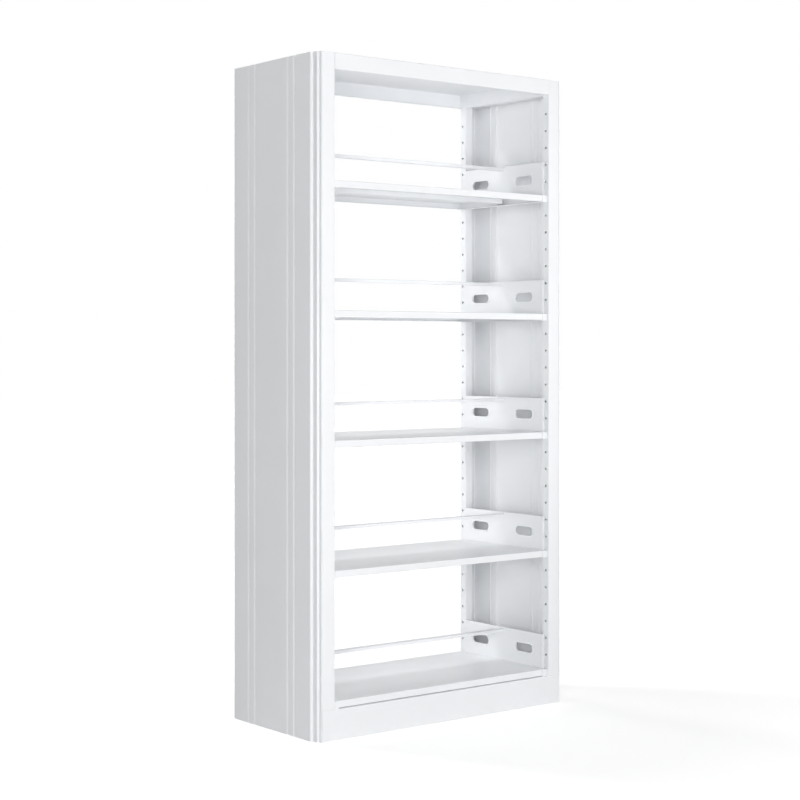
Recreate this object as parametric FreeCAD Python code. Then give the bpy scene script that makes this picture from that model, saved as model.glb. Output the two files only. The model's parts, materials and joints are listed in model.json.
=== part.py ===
import FreeCAD, Part
import math
import os

os.makedirs("parts", exist_ok=True)

# A free-standing, double sided library shelving bay in folded sheet steel.
# Millimetres. The origin is at floor level, midway across the width and the depth.
# +Z is up, the front faces -Y and the width runs along X. Both faces are alike, but
# the side covers have their stepped edge at the front and a plain fold at the rear.

Vector = FreeCAD.Vector
X_AXIS = Vector(1, 0, 0)
Y_AXIS = Vector(0, 1, 0)
Z_AXIS = Vector(0, 0, 1)
ORIGIN = Vector(0, 0, 0)

# ---------------------------------------------------------------- driving dimensions

# whole bay
width = 1000.0
depth = 450.0
height = 2050.0
seam_gap = 0.3            # between two sheets that are finished flush with each other
fit_gap = 0.4             # between a hung piece and what it hangs beside

# side covers, with a stepped and rounded front edge
cover_sheet = 1.0
cover_bend = 2.0
corner_width = 20.0       # how far a cover wraps round onto the front and the rear
corner_depth = 34.0       # where the flat of a cover ends and the steps begin
corner_first_step = 8.5   # first step inward from the flat
corner_step_slope = 2.5   # fall of the first tread
corner_nose_depth = 12.5  # the middle nose, behind the front plane
corner_second_step = 7.0
corner_riser_depth = 10.5 # foot of the last riser, behind the front plane
corner_lip = 3.0          # flat lip that lies flush with the columns
cover_hem = 14.0          # flange tucked in beside the column
groove_offset = 107.0     # each pair of grooves, from the middle of the flat
groove_spacing = 34.5     # between the two grooves of a pair
groove_width = 12.0
groove_depth = 3.0

# columns
column_sheet = 1.5
column_bend = 1.5
column_width = 46.0       # front face
column_depth = 30.0       # the pierced side face
column_web = 32.0
column_lip = 12.0

# peg holes down the side face of each column
hole_pitch = 55.6
hole_radius = 4.0
hole_inset = 14.0         # from the front plane
top_margin = 40.0         # plain length left above the last hole

# tiers
holes_per_tier = 7
least_top_bay = 300.0     # clear height above the highest shelf
shelf_edge = 21.0
shelf_sheet = 1.0
shelf_bend = 1.0
shelf_lip = 12.0
end_clearance = 0.4       # between a shelf's end and the rims of the slots

# ribs under the shelves
rib_width = 46.0
rib_height = 15.0
rib_flange = 12.0
rib_end_gap = 18.0

# end brackets
bracket_sheet = 1.5
bracket_bend = 1.0
bracket_standoff = 4.0    # the plate stands this far in from the column
bracket_height = 111.0    # above the shelf
bracket_inset = 22.0      # upper plate, behind the front plane
bracket_seat = 14.5       # ledge under the end of the shelf
toe_clearance = 0.5       # top of the toe below the shelf
slot_length = 84.0
slot_height = 28.0
slot_offset = 110.0       # from the middle of the depth
slot_rise = 56.0          # above the shelf
slot_collar = 3.0         # turned away from the shelf
slot_rim_width = 4.0      # raised rim round a slot, towards the shelf
slot_rim_height = 1.2
brow_radius = 1.2         # rounding of a bracket's top edge

# book stop, the bar along the middle of each tier
stop_sheet = 1.2
stop_bend = 1.0
stop_width = 25.0
stop_height = 10.0
stop_drop = 5.0           # top of the bar below the top of the brackets
stop_gap = 0.2

# top panel
top_sheet = 1.2
top_bend = 1.0
fascia_height = 49.0
fascia_lip = 12.0

# base
base_sheet = 1.5
base_bend = 1.5
base_height = 92.0
base_ledge = 45.0
base_foot = 20.0
beam_inset = 24.0
beam_flange = 36.0
beam_gap = 0.1            # between a beam and the channels that it joins
beam_end_gap = 0.3

# cross rails of the end frames
rail_sheet = 1.5
rail_bend = 1.0
rail_height = 40.0
rail_width = 50.0
rail_clearance = 0.6      # beside the ribs and steps inside the cover

# fasteners
bolt_radius = 4.0
bolt_clearance = 0.4
bolt_margin = 4.0         # plate left beyond a nut
nut_flats = 13.0
nut_height = 6.5
head_height = 5.5
bolt_tail = 1.5
end_plate_sheet = 3.0
end_plate_gap = 0.6
countersink_radius = 8.0
countersink_depth = 4.0
countersink_gap = 0.1
top_screw_length = 14.0
peg_clearance = 0.2       # all round, in a column's hole
peg_shoulder = 1.0        # how far the shoulder overlaps the rim of a hole
peg_length = 5.0          # past the column's side face
stop_screw_radius = 2.5
stop_screw_clearance = 0.2
stop_screw_head_radius = 4.5
stop_screw_head = 3.0
stop_screw_length = 9.0
stop_screw_spacing = 14.0
stud_radius = 3.0
stud_clearance = 0.4
stud_tail = 1.5           # thread left beyond a nut
stud_spacer_radius = 7.0
stud_offset = 45.0        # from the middle of the depth, clear of the grooves
stud_nut_flats = 10.0
stud_nut_height = 5.0
thread_gap = 0.05

# ---------------------------------------------------------------- places worked out from them

left = -width / 2
front = -depth / 2
flat_middle = corner_depth / 2
column_outer = left + corner_width + seam_gap
column_inner = column_outer + column_width
column_top = height - top_sheet
column_axis = column_inner - column_web / 2
peg_radius = hole_radius - peg_clearance
peg_shoulder_radius = hole_radius + peg_shoulder
toe_outer = front + hole_inset - peg_shoulder_radius - fit_gap - bracket_sheet
shelf_outer = toe_outer + bracket_sheet + fit_gap
bolt_hole_radius = bolt_radius + bolt_clearance
stop_screw_hole_radius = stop_screw_radius + stop_screw_clearance
stud_hole_radius = stud_radius + stud_clearance
plate_outer = column_inner + bracket_standoff
plate_inner = plate_outer + bracket_sheet
seat_inner = plate_inner + bracket_seat
first_tier = base_height + bracket_sheet + shelf_edge
tier_pitch = holes_per_tier * hole_pitch
opening_top = height - fascia_height
tier_count = 1 + int((opening_top - least_top_bay - first_tier) // tier_pitch)
tiers = [first_tier + number * tier_pitch for number in range(tier_count)]
peg_drop = shelf_edge / 2
stop_rise = bracket_height - stop_drop
stop_screw_rise = stop_rise - stop_height / 2
rail_standoff = max(groove_depth, corner_first_step) + rail_clearance
rail_outer = left + cover_sheet + rail_standoff
rail_plate_inner = column_axis + nut_flats / 2 + bolt_margin
rail_floors = [
    tiers[0] - shelf_edge,
    tiers[tier_count // 2] - shelf_edge,
    column_top - end_plate_sheet - rail_height,
]


# ---------------------------------------------------------------- sheet metal helpers

def block(x_range, y_range, z_range):
    """A box between two values on each axis."""
    corner = Vector(x_range[0], y_range[0], z_range[0])
    sizes = [high - low for low, high in (x_range, y_range, z_range)]
    return Part.makeBox(sizes[0], sizes[1], sizes[2], corner)


def in_plan(u, v):
    return Vector(u, v, 0)


def across_depth(u, v):
    """Section seen from the side: u runs along Y, v along Z."""
    return Vector(0, u, v)


def across_width(u, v):
    """Section seen from the front: u runs along X, v along Z."""
    return Vector(u, 0, v)


def direction(start, end):
    length = math.hypot(end[0] - start[0], end[1] - start[1])
    return (end[0] - start[0]) / length, (end[1] - start[1]) / length


def offset_left(points, distance):
    """The same open line, moved to its left with mitred corners."""
    moved = []
    last = len(points) - 1
    for index, (u, v) in enumerate(points):
        ahead = direction(points[min(index, last - 1)], points[min(index, last - 1) + 1])
        behind = direction(points[max(index, 1) - 1], points[max(index, 1)])
        normal = (-ahead[1] - behind[1], ahead[0] + behind[0])
        scale = distance / (1 + ahead[0] * behind[0] + ahead[1] * behind[1])
        moved.append((u + normal[0] * scale, v + normal[1] * scale))
    return moved


def rounded_line(points, left_radius, right_radius, place):
    """Edges of an open line. Left and right turns are rounded with their own radius."""
    edges = []
    start = points[0]
    for before, corner, after in zip(points, points[1:], points[2:]):
        into = direction(before, corner)
        out = direction(corner, after)
        cross = into[0] * out[1] - into[1] * out[0]
        turn = math.atan2(abs(cross), into[0] * out[0] + into[1] * out[1])
        radius = left_radius if cross > 0 else right_radius
        room = 0.48 * min(math.dist(before, corner), math.dist(corner, after))
        reach = min(radius * math.tan(turn / 2), room)
        if reach < 1e-6:
            edges.append(Part.LineSegment(place(*start), place(*corner)).toShape())
            start = corner
            continue
        radius = reach / math.tan(turn / 2)
        first = (corner[0] - into[0] * reach, corner[1] - into[1] * reach)
        second = (corner[0] + out[0] * reach, corner[1] + out[1] * reach)
        inward = direction(corner, ((first[0] + second[0]) / 2, (first[1] + second[1]) / 2))
        bulge = radius / math.cos(turn / 2) - radius
        middle = (corner[0] + inward[0] * bulge, corner[1] + inward[1] * bulge)
        edges.append(Part.LineSegment(place(*start), place(*first)).toShape())
        edges.append(Part.Arc(place(*first), place(*middle), place(*second)).toShape())
        start = second
    edges.append(Part.LineSegment(place(*start), place(*points[-1])).toShape())
    return edges


def folded(points, sheet, bend, place, start, travel):
    """A folded sheet: points follow its outer skin and the metal lies to their left."""
    inside = offset_left(points, sheet)
    edges = rounded_line(points, bend + sheet, bend, place)
    edges += rounded_line(inside, bend, bend + sheet, place)
    edges.append(Part.LineSegment(place(*points[0]), place(*inside[0])).toShape())
    edges.append(Part.LineSegment(place(*points[-1]), place(*inside[-1])).toShape())
    face = Part.Face(Part.Wire(Part.__sortEdges__(edges)))
    face.translate(start)
    return face.extrude(travel)


def joined(shapes):
    """Pieces of one sheet or weldment as a single solid."""
    return shapes[0].multiFuse(shapes[1:]).removeSplitter()


def cylinder(radius, start, travel):
    return Part.makeCylinder(radius, travel.Length, start, travel)


def hexagon(flats, start, travel):
    """A hexagonal bar, such as a nut or a bolt head."""
    radius = flats / 2 / math.cos(math.pi / 6)
    corners = []
    for index in range(7):
        angle = index * math.pi / 3
        across, along = radius * math.cos(angle), radius * math.sin(angle)
        if abs(travel.z) > 0:
            corners.append(start + Vector(across, along, 0))
        elif abs(travel.y) > 0:
            corners.append(start + Vector(across, 0, along))
        else:
            corners.append(start + Vector(0, across, along))
    return Part.Face(Part.makePolygon(corners)).extrude(travel)


def flipped_width(shape):
    return shape.mirror(ORIGIN, X_AXIS)


def flipped_depth(shape):
    return shape.mirror(ORIGIN, Y_AXIS)


def at_four_corners(shape):
    """One copy at each column, from the one at the front left."""
    pair = [shape, flipped_width(shape)]
    return pair + [flipped_depth(one) for one in pair]


def obround(length, thickness, centre, travel):
    """A bar with round ends, lying along Y and driven along X."""
    radius = thickness / 2
    half = length / 2 - radius
    middle = block(
        sorted((centre.x, centre.x + travel)),
        (centre.y - half, centre.y + half),
        (centre.z - radius, centre.z + radius),
    )
    ends = [
        cylinder(radius, centre + Vector(0, side * half, 0), Vector(travel, 0, 0))
        for side in (-1, 1)
    ]
    return joined([middle] + ends)


# ---------------------------------------------------------------- side covers

def corner_steps():
    """Outer skin from the flat to the hem, as distances inward and behind the front."""
    second_nose = corner_first_step + corner_second_step
    return [
        (0, corner_depth),
        (corner_first_step, corner_depth - corner_step_slope),
        (corner_first_step, corner_nose_depth),
        (second_nose, corner_riser_depth),
        (corner_width - corner_lip, 0),
        (corner_width, 0),
        (corner_width, cover_hem),
    ]


def cover_outline():
    """Outer skin of the left cover, from the rear hem round to the front hem."""
    wrap = left + corner_width
    points = [(wrap, -front - cover_hem), (wrap, -front), (left, -front)]
    for pair in (groove_offset, -groove_offset):
        for side in (1, -1):
            centre = flat_middle + pair + side * groove_spacing / 2
            points.append((left, centre + groove_width / 2))
            points.append((left + groove_depth, centre))
            points.append((left, centre - groove_width / 2))
    points += [(left + inward, front + behind) for inward, behind in corner_steps()]
    return points


def side_cover():
    """Left cover: the folded skin with a closing plate at the floor and at the top."""
    outline = cover_outline()
    skin = folded(outline, cover_sheet, cover_bend, in_plan, ORIGIN, Z_AXIS * height)
    edges = rounded_line(outline, cover_bend + cover_sheet, cover_bend, in_plan)
    edges.append(Part.LineSegment(in_plan(*outline[-1]), in_plan(*outline[0])).toShape())
    plate = Part.Face(Part.Wire(Part.__sortEdges__(edges))).extrude(Z_AXIS * cover_sheet)
    lid = plate.translated(Z_AXIS * (height - cover_sheet))
    return joined([skin, plate, lid])


# ---------------------------------------------------------------- columns

def column_hole_heights():
    heights = []
    height_now = tiers[0] - peg_drop
    while height_now < opening_top - top_margin:
        heights.append(height_now)
        height_now += hole_pitch
    return heights


def column():
    """Front left column, a lipped channel that stands on the base."""
    web = front + column_depth
    points = [
        (column_outer, front + cover_hem),
        (column_outer, front),
        (column_inner, front),
        (column_inner, web),
        (column_inner - column_web, web),
        (column_inner - column_web, web - column_lip),
    ]
    start = Z_AXIS * base_height
    travel = Z_AXIS * (column_top - base_height)
    profile = folded(points, column_sheet, column_bend, in_plan, start, travel)
    tools = []
    for hole_height in column_hole_heights():
        mouth = Vector(column_inner + 1, front + hole_inset, hole_height)
        tools.append(cylinder(hole_radius, mouth, Vector(-column_sheet - 2, 0, 0)))
    for floor in rail_floors:
        mouth = Vector(column_axis, web + 1, floor + rail_height / 2)
        tools.append(cylinder(bolt_hole_radius, mouth, Vector(0, -column_sheet - 2, 0)))
    return profile.cut(Part.makeCompound(tools))


def end_plate_ranges():
    """Plan of the plates welded into both ends of a column."""
    x_range = (
        column_inner - column_web + column_sheet + end_plate_gap,
        column_inner - column_sheet - end_plate_gap,
    )
    y_range = (
        front + column_sheet + end_plate_gap,
        front + column_depth - column_sheet - end_plate_gap,
    )
    return x_range, y_range


def end_plate_centre():
    x_range, y_range = end_plate_ranges()
    return sum(x_range) / 2, sum(y_range) / 2


def column_end_plates():
    """Foot plate and head plate of every column."""
    x_range, y_range = end_plate_ranges()
    x, y = end_plate_centre()
    foot = block(x_range, y_range, (base_height, base_height + end_plate_sheet))
    start = Vector(x, y, base_height - 1)
    foot = foot.cut(cylinder(bolt_hole_radius, start, Z_AXIS * (end_plate_sheet + 2)))
    head = block(x_range, y_range, (column_top - end_plate_sheet, column_top))
    head = head.cut(top_screw(countersink_gap))
    return at_four_corners(foot) + at_four_corners(head)


# ---------------------------------------------------------------- top and base

def top_screw(clearance):
    """Countersunk screw, flush with the top. The clearance is for the hole it needs."""
    x, y = end_plate_centre()
    head = Part.makeCone(
        countersink_radius + clearance,
        bolt_radius + clearance,
        countersink_depth,
        Vector(x, y, height),
        -Z_AXIS,
    )
    shank = cylinder(bolt_radius + clearance, Vector(x, y, height), -Z_AXIS * top_screw_length)
    return joined([head, shank])


def top_panel():
    """Hood between the columns, with its top sheet carried over them."""
    hood_left = column_inner + seam_gap
    points = [
        (-front - fascia_lip, opening_top),
        (-front, opening_top),
        (-front, height),
        (front, height),
        (front, opening_top),
        (front + fascia_lip, opening_top),
    ]
    travel = -X_AXIS * 2 * hood_left
    hood = folded(points, top_sheet, top_bend, across_depth, X_AXIS * hood_left, travel)
    inner = (front + top_sheet, -front - top_sheet)
    end = block((hood_left, hood_left + top_sheet), inner, (opening_top, height - top_sheet))
    over = block((column_outer, hood_left + top_sheet), (front, -front), (column_top, height))
    corner = front + top_bend + top_sheet
    for y_range in ((front, corner), (-corner, -front)):
        over = over.cut(block((hood_left, hood_left + top_sheet), y_range, (column_top, height)))
    sheet = joined([hood, end, flipped_width(end), over, flipped_width(over)])
    return sheet.cut(Part.makeCompound(at_four_corners(top_screw(countersink_gap))))


def base_channel():
    """Front kick plate, with a ledge that carries the columns and a foot on the floor."""
    points = [
        (front + base_ledge, base_height),
        (front, base_height),
        (front, 0),
        (front + base_foot, 0),
    ]
    travel = -X_AXIS * 2 * column_outer
    channel = folded(points, base_sheet, base_bend, across_depth, X_AXIS * column_outer, travel)
    x, y = end_plate_centre()
    for place in (x, -x):
        start = Vector(place, y, base_height + 1)
        channel = channel.cut(cylinder(bolt_hole_radius, start, -Z_AXIS * (base_sheet + 2)))
    return channel


def base_beam():
    """Left beam of the base, between the front and rear channels."""
    web = left + beam_inset
    floor = base_sheet + beam_gap
    ceiling = base_height - base_sheet - beam_gap
    points = [
        (web + beam_flange, ceiling),
        (web, ceiling),
        (web, floor),
        (web + beam_flange, floor),
    ]
    end = front + base_sheet + base_bend + beam_end_gap
    travel = -Y_AXIS * 2 * end
    beam = folded(points, base_sheet, base_bend, across_width, Y_AXIS * end, travel)
    notch = block(
        (web + base_sheet + base_bend, web + beam_flange + 1),
        (end - 1, front + base_ledge),
        (ceiling - base_sheet - 1, ceiling + 1),
    )
    return beam.cut(Part.makeCompound([notch, flipped_depth(notch)]))


# ---------------------------------------------------------------- end frames

def end_rail(floor):
    """Left cross rail, bolted between the webs of the front and rear columns."""
    ceiling = floor + rail_height
    end = front + column_depth
    points = [
        (rail_outer + rail_width, ceiling),
        (rail_outer, ceiling),
        (rail_outer, floor),
        (rail_outer + rail_width, floor),
    ]
    travel = -Y_AXIS * 2 * end
    channel = folded(points, rail_sheet, rail_bend, across_width, Y_AXIS * end, travel)
    x_range = (rail_outer + rail_sheet, rail_plate_inner)
    inner = (floor + rail_sheet, ceiling - rail_sheet)
    plate = block(x_range, (end, end + rail_sheet), inner)
    tools = []
    start = Vector(column_axis, end - 1, floor + rail_height / 2)
    bolt_hole = cylinder(bolt_hole_radius, start, Y_AXIS * (rail_sheet + 2))
    tools += [bolt_hole, flipped_depth(bolt_hole)]
    for side in (-1, 1):
        start = Vector(rail_outer - 1, side * stud_offset, floor + rail_height / 2)
        tools.append(cylinder(stud_hole_radius, start, X_AXIS * (rail_sheet + 2)))
    rail = joined([channel, plate, flipped_depth(plate)])
    return rail.cut(Part.makeCompound(tools))


# ---------------------------------------------------------------- tiers

def end_bracket(tier):
    """Left bracket: a flanged plate with two slots, on a seat that ends in two toes."""
    floor = tier - shelf_edge - bracket_sheet
    toe_top = tier - toe_clearance
    crown = tier + bracket_height
    edge = column_inner + fit_gap
    near = front + bracket_inset
    toe = toe_outer
    points = [(edge, -near), (plate_inner, -near), (plate_inner, near), (edge, near)]
    points.reverse()
    upper = folded(
        points, bracket_sheet, bracket_bend, in_plan, Z_AXIS * toe_top, Z_AXIS * (crown - toe_top)
    )
    brow = block(
        (edge, plate_inner), (near, -near), (crown - bracket_sheet, crown)
    ).common(upper_outline(edge, near, crown))
    band = block((plate_outer, plate_inner), (toe, -toe), (floor, toe_top))
    seat = block((plate_inner, seat_inner), (toe, -toe), (floor, floor + bracket_sheet))
    front_toe = block((edge, seat_inner), (toe, toe + bracket_sheet), (floor, toe_top))
    pieces = [upper, brow, band, seat, front_toe, flipped_depth(front_toe)]
    tools = []
    for side in (-1, 1):
        centre = Vector(plate_inner, side * slot_offset, tier + slot_rise)
        for wall, travel in ((bracket_sheet, -bracket_sheet - slot_collar), (slot_rim_width, slot_rim_height)):
            pieces.append(obround(slot_length + 2 * wall, slot_height + 2 * wall, centre, travel))
        mouth = centre + X_AXIS * (slot_rim_height + 1)
        cut_length = slot_rim_height + bracket_sheet + slot_collar + 2
        tools.append(obround(slot_length, slot_height, mouth, -cut_length))
        screw = Vector(plate_inner + 1, side * stop_screw_spacing / 2, tier + stop_screw_rise)
        tools.append(cylinder(stop_screw_hole_radius, screw, -X_AXIS * (bracket_sheet + 2)))
    bracket = joined(pieces).cut(Part.makeCompound(tools))
    return rolled_edges(bracket, crown)


def upper_outline(edge, near, crown):
    """Plan of the bracket's upper part with its folded corners, as a tall block."""
    points = [(edge, near), (plate_inner, near), (plate_inner, -near), (edge, -near)]
    radius = bracket_bend + bracket_sheet
    edges = rounded_line(points, radius, radius, in_plan)
    edges.append(Part.LineSegment(in_plan(*points[-1]), in_plan(*points[0])).toShape())
    face = Part.Face(Part.Wire(Part.__sortEdges__(edges)))
    face.translate(Z_AXIS * (crown - 2 * bracket_sheet))
    return face.extrude(Z_AXIS * 3 * bracket_sheet)


def rolled_edges(bracket, crown):
    """Rounds both edges of the slots' rims and the top edge on the side that faces the shelf."""
    rim_face = plate_inner + slot_rim_height
    rims, brow = [], []
    for edge in bracket.Edges:
        box = edge.BoundBox
        if abs(box.XMin - rim_face) < 1e-4 and abs(box.XMax - rim_face) < 1e-4:
            rims.append(edge)
        on_plate = abs(box.XMin - plate_inner) < 1e-4 and abs(box.XMax - plate_inner) < 1e-4
        if on_plate and box.ZMin > crown - 1e-4 and box.YLength > 10:
            brow.append(edge)
    bracket = bracket.makeFillet(0.9 * min(slot_rim_height, slot_rim_width / 2), rims)
    return bracket.makeFillet(min(brow_radius, 0.8 * bracket_sheet), brow)


def shelf(tier):
    """Folded pan, open underneath, closed at both ends."""
    near = shelf_outer
    bottom = tier - shelf_edge
    points = [
        (-near - shelf_lip, bottom),
        (-near, bottom),
        (-near, tier),
        (near, tier),
        (near, bottom),
        (near + shelf_lip, bottom),
    ]
    start = plate_inner + slot_rim_height + end_clearance
    travel = -X_AXIS * 2 * start
    pan = folded(points, shelf_sheet, shelf_bend, across_depth, X_AXIS * start, travel)
    inner = (near + shelf_sheet, -near - shelf_sheet)
    z_range = (bottom + shelf_sheet, tier - shelf_sheet)
    end = block((start, start + shelf_sheet), inner, z_range)
    return joined([pan, end, flipped_width(end)])


def shelf_rib(tier):
    """Hat section welded along the middle of the underside."""
    upper = tier - 2 * shelf_sheet
    lower = tier - shelf_sheet - rib_height
    half = rib_width / 2
    points = [
        (-half - rib_flange, upper),
        (-half, upper),
        (-half, lower),
        (half, lower),
        (half, upper),
        (half + rib_flange, upper),
    ]
    start = plate_inner + rib_end_gap
    travel = -X_AXIS * 2 * start
    return folded(points, shelf_sheet, shelf_bend, across_depth, X_AXIS * start, travel)


def book_stop(tier):
    """Inverted channel between the two brackets, with a pierced plate in each end."""
    top = tier + stop_rise
    bottom = top - stop_height
    half = stop_width / 2
    points = [(half, bottom), (half, top), (-half, top), (-half, bottom)]
    start = plate_inner + stop_gap
    travel = -X_AXIS * 2 * start
    bar = folded(points, stop_sheet, stop_bend, across_depth, X_AXIS * start, travel)
    inner = (-half + stop_sheet, half - stop_sheet)
    end = block((start, start + stop_sheet), inner, (bottom, top - stop_sheet))
    for side in (-1, 1):
        place = Vector(start - 1, side * stop_screw_spacing / 2, tier + stop_screw_rise)
        end = end.cut(cylinder(stop_screw_radius + thread_gap, place, X_AXIS * (stop_sheet + 2)))
    return joined([bar, end, flipped_width(end)])


# ---------------------------------------------------------------- fasteners

def bracket_pegs():
    """Shouldered pegs on the brackets, hung in the holes of the columns."""
    pegs = []
    for tier in tiers:
        start = Vector(plate_outer, front + hole_inset, tier - peg_drop)
        shoulder = cylinder(peg_shoulder_radius, start, -X_AXIS * bracket_standoff)
        pin = cylinder(peg_radius, start, -X_AXIS * (bracket_standoff + peg_length))
        pegs += at_four_corners(joined([shoulder, pin]))
    return pegs


def book_stop_screws():
    """Screws through the brackets into the ends of the book stops."""
    screws = []
    for tier in tiers:
        for side in (-1, 1):
            seat = Vector(plate_outer, side * stop_screw_spacing / 2, tier + stop_screw_rise)
            head = cylinder(stop_screw_head_radius, seat, -X_AXIS * stop_screw_head)
            shank = cylinder(stop_screw_radius, seat, X_AXIS * stop_screw_length)
            screw = joined([head, shank])
            screws += [screw, flipped_width(screw)]
    return screws


def foot_bolt():
    """Bolt up through the base ledge into the foot plate of a column."""
    x, y = end_plate_centre()
    seat = Vector(x, y, base_height - base_sheet)
    grip = base_sheet + end_plate_sheet + nut_height + bolt_tail
    head = hexagon(nut_flats, seat, -Z_AXIS * head_height)
    return joined([head, cylinder(bolt_radius, seat, Z_AXIS * grip)])


def foot_nut():
    x, y = end_plate_centre()
    seat = Vector(x, y, base_height + end_plate_sheet)
    body = hexagon(nut_flats, seat, Z_AXIS * nut_height)
    return body.cut(cylinder(bolt_radius + thread_gap, seat, Z_AXIS * nut_height))


def frame_bolt(floor):
    """Bolt through a rail's end plate and the web of a column."""
    seat = Vector(column_axis, front + column_depth + rail_sheet, floor + rail_height / 2)
    grip = rail_sheet + column_sheet + nut_height + bolt_tail
    head = hexagon(nut_flats, seat, Y_AXIS * head_height)
    return joined([head, cylinder(bolt_radius, seat, -Y_AXIS * grip)])


def frame_nut(floor):
    seat = Vector(column_axis, front + column_depth - column_sheet, floor + rail_height / 2)
    body = hexagon(nut_flats, seat, -Y_AXIS * nut_height)
    return body.cut(cylinder(bolt_radius + thread_gap, seat, -Y_AXIS * nut_height))


def cover_stud(floor, side):
    """Threaded stud welded inside the left cover, with a spacer up to the rail."""
    seat = Vector(left + cover_sheet, side * stud_offset, floor + rail_height / 2)
    spacer = cylinder(stud_spacer_radius, seat, X_AXIS * rail_standoff)
    length = rail_standoff + rail_sheet + stud_nut_height + stud_tail
    return joined([spacer, cylinder(stud_radius, seat, X_AXIS * length)])


def cover_nut(floor, side):
    seat = Vector(rail_outer + rail_sheet, side * stud_offset, floor + rail_height / 2)
    body = hexagon(stud_nut_flats, seat, X_AXIS * stud_nut_height)
    return body.cut(cylinder(stud_radius + thread_gap, seat, X_AXIS * stud_nut_height))


# ---------------------------------------------------------------- assembly

def left_and_right(shape, name, nodes):
    nodes[name.replace("SIDE", "left")] = shape
    nodes[name.replace("SIDE", "right")] = flipped_width(shape)


def assembly():
    """Every node by name: one solid, or a group of identical fasteners."""
    nodes = {}
    front_left = column()
    left_and_right(front_left, "column_front_SIDE", nodes)
    left_and_right(flipped_depth(front_left), "column_rear_SIDE", nodes)
    nodes["column_end_plates"] = Part.makeCompound(column_end_plates())
    left_and_right(side_cover(), "side_cover_SIDE", nodes)
    nodes["top_panel"] = top_panel()
    nodes["kick_plate_front"] = base_channel()
    nodes["kick_plate_rear"] = flipped_depth(base_channel())
    left_and_right(base_beam(), "base_beam_SIDE", nodes)
    for floor, level in zip(rail_floors, ("bottom", "middle", "top")):
        left_and_right(end_rail(floor), "end_rail_SIDE_" + level, nodes)
    for number, tier in enumerate(tiers, start=1):
        left_and_right(end_bracket(tier), "end_bracket_SIDE_%d" % number, nodes)
        nodes["shelf_%d" % number] = shelf(tier)
        nodes["shelf_rib_%d" % number] = shelf_rib(tier)
        nodes["book_stop_%d" % number] = book_stop(tier)
    nodes["bracket_pegs"] = Part.makeCompound(bracket_pegs())
    nodes["book_stop_screws"] = Part.makeCompound(book_stop_screws())
    nodes["top_screws"] = Part.makeCompound(at_four_corners(top_screw(0)))
    nodes["foot_bolts"] = Part.makeCompound(at_four_corners(foot_bolt()))
    nodes["foot_nuts"] = Part.makeCompound(at_four_corners(foot_nut()))
    bolts, nuts, studs, stud_nuts = [], [], [], []
    for floor in rail_floors:
        bolts += at_four_corners(frame_bolt(floor))
        nuts += at_four_corners(frame_nut(floor))
        for side in (-1, 1):
            stud = cover_stud(floor, side)
            stud_nut = cover_nut(floor, side)
            studs += [stud, flipped_width(stud)]
            stud_nuts += [stud_nut, flipped_width(stud_nut)]
    nodes["frame_bolts"] = Part.makeCompound(bolts)
    nodes["frame_nuts"] = Part.makeCompound(nuts)
    nodes["cover_studs"] = Part.makeCompound(studs)
    nodes["cover_nuts"] = Part.makeCompound(stud_nuts)
    return nodes


for name, shape in assembly().items():
    shape.exportStep("parts/%s.step" % name)
    box = shape.BoundBox
    print("%-24s solids %2d  volume %10.0f  x %7.1f..%7.1f  y %7.1f..%7.1f  z %7.1f..%7.1f  valid %s" % (
        name, len(shape.Solids), shape.Volume,
        box.XMin, box.XMax, box.YMin, box.YMax, box.ZMin, box.ZMax, shape.isValid()))
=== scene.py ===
import json
import math

import bpy
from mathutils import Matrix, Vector

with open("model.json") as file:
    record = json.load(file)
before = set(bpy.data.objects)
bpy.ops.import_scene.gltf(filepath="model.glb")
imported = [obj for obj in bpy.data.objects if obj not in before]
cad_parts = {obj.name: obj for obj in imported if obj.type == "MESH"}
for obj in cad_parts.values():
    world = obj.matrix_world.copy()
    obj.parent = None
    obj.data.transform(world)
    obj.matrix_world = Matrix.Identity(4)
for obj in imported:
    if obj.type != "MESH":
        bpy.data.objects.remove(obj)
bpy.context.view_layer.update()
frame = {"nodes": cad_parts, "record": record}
nodes = frame["nodes"]


# ---------------------------------------------------------------- node helpers

def new_material(name):
    material = bpy.data.materials.new(name)
    material.use_nodes = True
    tree = material.node_tree
    tree.nodes.clear()
    return material, tree


def add(tree, kind, inputs=None, **properties):
    """A shader node with its properties and unlinked inputs set."""
    node = tree.nodes.new(kind)
    for key, value in properties.items():
        setattr(node, key, value)
    for socket, value in (inputs or {}).items():
        node.inputs[socket].default_value = value
    return node


def link(tree, source, output, target, socket):
    tree.links.new(source.outputs[output], target.inputs[socket])


def noise(tree, position, scale, detail=2.0, roughness=0.5):
    """Cloudy noise in space, with scale cells to the metre."""
    values = {"Scale": scale, "Detail": detail, "Roughness": roughness}
    node = add(tree, "ShaderNodeTexNoise", values, noise_dimensions="3D")
    link(tree, position, "Position", node, "Vector")
    return node


def spread(tree, source, low, high):
    """Maps the middle of a noise onto a narrow range."""
    values = {"From Min": 0.3, "From Max": 0.7, "To Min": low, "To Max": high}
    node = add(tree, "ShaderNodeMapRange", values)
    link(tree, source, "Fac", node, "Value")
    return node


def tint_between(tree, factor, first, second):
    """A colour that goes from first to second with factor."""
    node = add(tree, "ShaderNodeMix", data_type="RGBA")
    node.inputs["A"].default_value = (*first, 1)
    node.inputs["B"].default_value = (*second, 1)
    link(tree, factor, "Result", node, "Factor")
    return node


def relief(tree, source, strength, height):
    """Bumps of a height in metres."""
    node = add(tree, "ShaderNodeBump", {"Strength": strength, "Distance": height})
    link(tree, source, "Fac", node, "Height")
    return node


# ---------------------------------------------------------------- finishes

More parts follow.
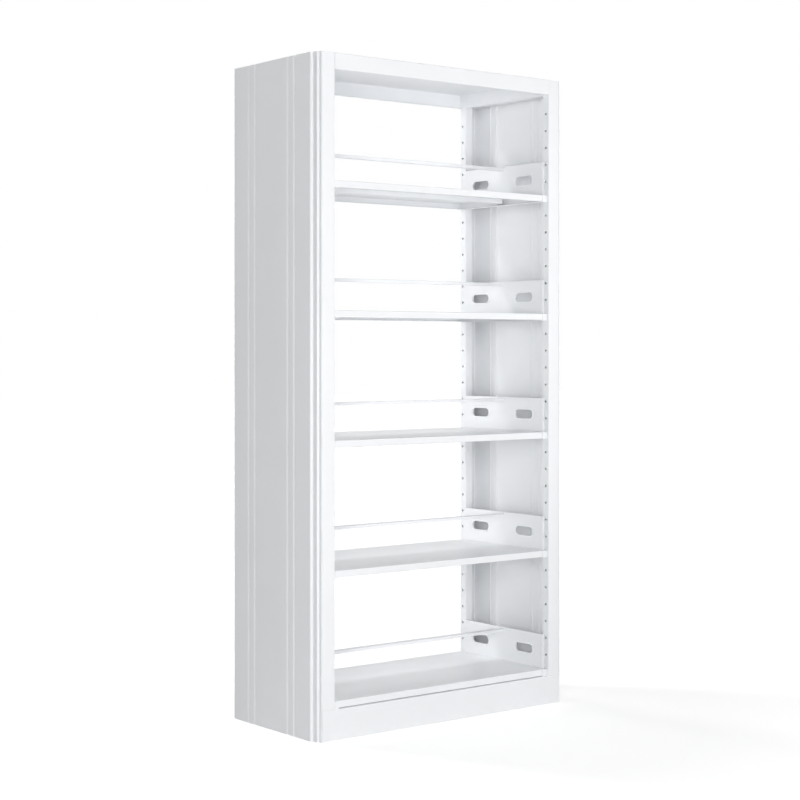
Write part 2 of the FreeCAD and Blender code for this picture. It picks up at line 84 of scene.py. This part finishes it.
def powder_coat(name, colour, smoothest, roughest):
    """Semi-gloss powder coat: fine orange peel, a faint cloudiness and an uneven sheen."""
    material, tree = new_material(name)
    output = add(tree, "ShaderNodeOutputMaterial")
    shader = add(tree, "ShaderNodeBsdfPrincipled", {"IOR": 1.5})
    position = add(tree, "ShaderNodeNewGeometry")

    cloud = spread(tree, noise(tree, position, scale=5.0, detail=3.0), 0.0, 1.0)
    darker = [value * 0.985 for value in colour]
    lighter = [min(1.0, value * 1.012) for value in colour]
    link(tree, tint_between(tree, cloud, darker, lighter), "Result", shader, "Base Color")

    sheen = spread(tree, noise(tree, position, scale=40.0), smoothest, roughest)
    link(tree, sheen, "Result", shader, "Roughness")

    peel = relief(tree, noise(tree, position, scale=520.0, roughness=0.55), 0.25, 0.00006)
    wave = relief(tree, noise(tree, position, scale=14.0, detail=1.0), 0.3, 0.0005)
    link(tree, peel, "Normal", wave, "Normal")
    link(tree, wave, "Normal", shader, "Normal")
    link(tree, shader, "BSDF", output, "Surface")
    return material


def zinc_plate(name):
    """Bright zinc: faint spangle and a fine turned grain."""
    material, tree = new_material(name)
    output = add(tree, "ShaderNodeOutputMaterial")
    shader = add(tree, "ShaderNodeBsdfPrincipled", {"Metallic": 1.0})
    position = add(tree, "ShaderNodeNewGeometry")

    spangle = spread(tree, noise(tree, position, scale=260.0, detail=3.0), 0.0, 1.0)
    tint = tint_between(tree, spangle, (0.62, 0.63, 0.65), (0.78, 0.79, 0.80))
    link(tree, tint, "Result", shader, "Base Color")

    wear = spread(tree, noise(tree, position, scale=900.0), 0.24, 0.42)
    link(tree, wear, "Result", shader, "Roughness")

    grain = relief(tree, noise(tree, position, scale=1400.0), 0.3, 0.00004)
    link(tree, grain, "Normal", shader, "Normal")
    link(tree, shader, "BSDF", output, "Surface")
    return material


white = (0.90, 0.912, 0.93)
finishes = {
    "white_frame": powder_coat("white_frame_coat", white, 0.34, 0.42),
    "white_cover": powder_coat("white_cover_coat", white, 0.36, 0.44),
    "white_shelf": powder_coat("white_shelf_coat", white, 0.30, 0.38),
    "zinc_steel": zinc_plate("zinc_steel_plate"),
}
slots = {part["node"]: part["material_slot"] for part in frame["record"]["subparts"]}
for name, piece in nodes.items():
    finish = finishes[slots[name]]
    if not piece.material_slots:
        piece.data.materials.append(finish)
    for material_slot in piece.material_slots:
        material_slot.material = finish


# ---------------------------------------------------------------- floor and light

floor_size = 60.0
floor_grey = 0.8
near_glow = 0.56         # of the floor within glow_start of the object
far_glow = 1.0           # from glow_end on, where the floor meets the white surroundings
glow_start = 1.0
glow_end = 6.0
ambient_colour = (0.98, 0.99, 1.0, 1)
ambient_level = 0.095


def seen_ray(tree):
    """1 for what the camera sees itself or mirrored, 0 for light on the object."""
    path = add(tree, "ShaderNodeLightPath")
    mirrored = add(tree, "ShaderNodeMath", operation="MAXIMUM")
    link(tree, path, "Is Glossy Ray", mirrored, 0)
    link(tree, path, "Is Transmission Ray", mirrored, 1)
    seen = add(tree, "ShaderNodeMath", operation="MAXIMUM")
    link(tree, path, "Is Camera Ray", seen, 0)
    link(tree, mirrored, "Value", seen, 1)
    return seen


def pale_floor():
    """A white floor that still takes the object's soft shadow, and stays white far from the lamps."""
    bpy.ops.mesh.primitive_plane_add(size=floor_size)
    floor = bpy.context.active_object
    floor.name = "floor"
    material, tree = new_material("floor_white")
    output = add(tree, "ShaderNodeOutputMaterial")
    diffuse = add(tree, "ShaderNodeBsdfDiffuse", {"Color": (floor_grey, floor_grey, floor_grey, 1)})
    glow = add(tree, "ShaderNodeEmission")
    position = add(tree, "ShaderNodeNewGeometry")
    distance = add(tree, "ShaderNodeVectorMath", operation="LENGTH")
    link(tree, position, "Position", distance, 0)
    reach = {"From Min": glow_start, "From Max": glow_end, "To Min": near_glow, "To Max": far_glow}
    fade = add(tree, "ShaderNodeMapRange", reach)
    link(tree, distance, "Value", fade, "Value")
    strength = add(tree, "ShaderNodeMath", operation="MULTIPLY")
    link(tree, seen_ray(tree), "Value", strength, 0)
    link(tree, fade, "Result", strength, 1)
    link(tree, strength, "Value", glow, "Strength")
    both = add(tree, "ShaderNodeAddShader")
    link(tree, diffuse, "BSDF", both, 0)
    link(tree, glow, "Emission", both, 1)
    link(tree, both, "Shader", output, "Surface")
    floor.data.materials.append(material)


def surroundings():
    """White to the camera and in reflections, a soft even light on everything else."""
    world = bpy.data.worlds.new("studio")
    bpy.context.scene.world = world
    world.use_nodes = True
    tree = world.node_tree
    tree.nodes.clear()
    output = add(tree, "ShaderNodeOutputWorld")
    light = add(tree, "ShaderNodeBackground", {"Color": ambient_colour, "Strength": ambient_level})
    seen = add(tree, "ShaderNodeBackground", {"Color": (1, 1, 1, 1), "Strength": 1.0})
    mix = add(tree, "ShaderNodeMixShader")
    link(tree, seen_ray(tree), "Value", mix, 0)
    link(tree, light, "Background", mix, 1)
    link(tree, seen, "Background", mix, 2)
    link(tree, mix, "Shader", output, "Surface")


def soft_lamp(name, place, target, size, power):
    """A rectangular lamp that faces its target, in metres and watts."""
    data = bpy.data.lights.new(name, "AREA")
    data.shape = "RECTANGLE"
    data.size, data.size_y = size
    data.energy = power
    lamp = bpy.data.objects.new(name, data)
    bpy.context.scene.collection.objects.link(lamp)
    lamp.location = place
    lamp.visible_camera = False
    lamp.rotation_euler = (Vector(target) - Vector(place)).to_track_quat("-Z", "Y").to_euler()


# name, place, target, size, power
lamps = (
    ("front_lamp", (-0.6, -5.0, 0.7), (0.0, 0.0, 1.3), (4.0, 1.2), 61.0),
    ("left_front_lamp", (-3.9, -3.9, 1.4), (0.0, 0.0, 1.1), (2.0, 2.0), 121.0),
    ("right_front_lamp", (3.6, -3.0, 1.6), (0.0, 0.0, 1.1), (2.0, 2.0), 38.0),
    ("right_high_lamp", (2.6, -4.2, 4.6), (0.0, 0.0, 1.0), (1.6, 1.6), 54.0),
    ("rear_lamp", (-0.1, 4.6, 2.6), (0.0, 0.0, 1.2), (0.9, 1.5), 33.0),
    ("rear_low_lamp", (-0.1, 4.6, 0.7), (0.0, 0.0, 1.3), (0.9, 1.2), 58.0),
    ("rear_strip_lamp", (-0.35, 1.1, 1.1), (1.5, 0.4, 1.1), (0.2, 1.9), 4.8),
    ("key_lamp", (-1.4, 2.4, 4.4), (0.0, 0.0, 1.1), (0.5, 0.5), 50.0),
)
pale_floor()
surroundings()
for lamp_row in lamps:
    soft_lamp(*lamp_row)


# ---------------------------------------------------------------- camera

picture_width = 800.0    # pixels
focal_length = 1750.73   # pixels
horizon_shift = -52.67   # pixels, with the camera held level
camera_place = (-3.5061, -4.4422, 1.1714)
camera_turn = 0.6667     # from +Y towards +X
sensor_width = 36.0
view_depth = 200.0


def photo_camera():
    """A level camera with the photograph's place, turn and framing."""
    data = bpy.data.cameras.new("photo_camera")
    data.sensor_fit = "HORIZONTAL"
    data.sensor_width = sensor_width
    data.lens = focal_length * sensor_width / picture_width
    data.shift_y = horizon_shift / picture_width
    data.clip_end = view_depth
    camera = bpy.data.objects.new("photo_camera", data)
    bpy.context.scene.collection.objects.link(camera)
    camera.location = camera_place
    camera.rotation_euler = (math.pi / 2, 0.0, -camera_turn)
    bpy.context.scene.camera = camera


photo_camera()
bpy.context.scene.view_settings.view_transform = "Standard"
